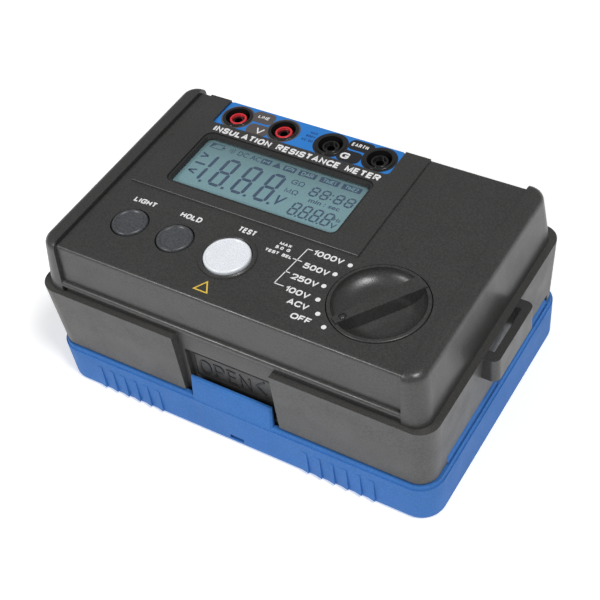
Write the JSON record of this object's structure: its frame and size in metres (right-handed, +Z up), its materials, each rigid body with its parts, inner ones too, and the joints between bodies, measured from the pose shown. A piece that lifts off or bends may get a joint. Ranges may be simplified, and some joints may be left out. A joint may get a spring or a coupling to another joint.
{
  "type": "insulation resistance tester",
  "caption": "Bench-top insulation tester: grey case with display, push buttons, dished range knob and lead sockets, standing in its blue storage cover with a front latch tab.",
  "frame": {"origin": "centre of the bounding box, on the underside of the stowed cover", "axes": "+X to the right as seen by the user, +Y to the back (sockets), +Z up out of the panel"},
  "size_m": [0.2224, 0.1384, 0.092],
  "materials": {
    "case_upper": "fine spark texture, dark graphite grey",
    "case_lower": "fine spark texture, mid grey",
    "cover_blue": "fine spark texture, blue",
    "key_grey": "smooth satin, dark grey",
    "button_white": "satin translucent white",
    "bezel_black": "satin black",
    "lens_clear": "clear, slight gloss",
    "lcd_grey": "reflective liquid crystal, blue grey",
    "label_blue": "printed film, satin",
    "socket_black": "glossy black insulator",
    "sleeve_red": "glossy red insulator",
    "brass_contact": "nickel free turned brass",
    "contact_nickel": "nickel plated, darkened",
    "board_green": "solder resist on glass laminate",
    "steel_zinc": "bright zinc plate",
    "spring_steel": "drawn spring wire",
    "rubber_black": "matte silicone rubber",
    "nylon_white": "moulded nylon",
    "ferrite": "matte ferrite",
    "winding_tape": "polyester tape over copper",
    "can_dark": "capacitor sleeve",
    "chip_black": "moulding compound",
    "fuse_glass": "glass tube with metal caps",
    "cell_jacket": "printed jacket over steel can",
    "copper_lead": "insulated wire"
  },
  "bodies": {
    "cover": {"storage_cover": "cover_blue"},
    "tester": {"lower_case": "case_lower", "strap_lug_left": "case_upper", "strap_lug_right": "case_upper", "upper_case": "case_upper", "lcd_bezel": "bezel_black", "lcd_lens": "lens_clear", "lcd_glass": "lcd_grey", "lcd_backlight": "nylon_white", "zebra_strips": "rubber_black", "display_board": "board_green", "display_screws": "steel_zinc", "terminal_label": "label_blue", "line_socket": "socket_black", "volt_socket": "socket_black", "guard_socket": "socket_black", "earth_socket": "socket_black", "socket_sleeves_red": "sleeve_red", "socket_sleeves_black": "socket_black", "socket_contacts": "contact_nickel", "terminal_board": "board_green", "light_dome": "rubber_black", "hold_dome": "rubber_black", "test_bezel": "case_upper", "test_spring": "spring_steel", "test_lamp": "sleeve_red", "test_switch": "chip_black", "switch_housing": "chip_black", "switch_lid": "chip_black", "switch_board": "board_green", "main_board": "board_green", "board_screws": "steel_zinc", "transformer_core": "ferrite", "transformer_winding": "winding_tape", "capacitors": "can_dark", "processor_chips": "chip_black", "buzzer": "chip_black", "fuse": "fuse_glass", "fuse_clips": "brass_contact", "link_sockets": "chip_black", "ribbon_cable": "nylon_white", "battery_tray": "chip_black", "cells": "cell_jacket", "cell_plates": "steel_zinc", "cell_springs": "spring_steel", "battery_door": "case_lower", "door_screws": "steel_zinc", "battery_leads": "copper_lead", "case_screws": "steel_zinc", "case_feet": "rubber_black"},
    "light_key": {"light_button": "key_grey"},
    "hold_key": {"hold_button": "key_grey"},
    "test_key": {"test_button": "button_white"},
    "knob": {"range_knob": "case_upper", "knob_shaft": "steel_zinc", "switch_rotor": "nylon_white", "detent_ball": "steel_zinc", "detent_spring": "spring_steel", "wiper_contacts": "brass_contact"}
  },
  "joints": [
    {"name": "tester_lift", "type": "slide", "parent": "cover", "child": "tester", "axis": [0, 0, 1], "range_m": [0, 0.06]},
    {"name": "light_press", "type": "slide", "parent": "tester", "child": "light_key", "axis": [0, 0, -1], "range_m": [0, 0.0015], "stiffness_N_per_m": 600, "springref_m": -0.002, "deforming": ["light_dome"]},
    {"name": "hold_press", "type": "slide", "parent": "tester", "child": "hold_key", "axis": [0, 0, -1], "range_m": [0, 0.0015], "stiffness_N_per_m": 600, "springref_m": -0.002, "deforming": ["hold_dome"]},
    {"name": "test_press", "type": "slide", "parent": "tester", "child": "test_key", "axis": [0, 0, -1], "range_m": [0, 0.002], "stiffness_N_per_m": 700, "springref_m": -0.002, "deforming": ["test_spring"]},
    {"name": "range_turn", "type": "hinge", "parent": "tester", "child": "knob", "pos_m": [0.062, -0.0302, 0.09], "axis": [0, 0, -1], "range_deg": [0, 90]}
  ]
}
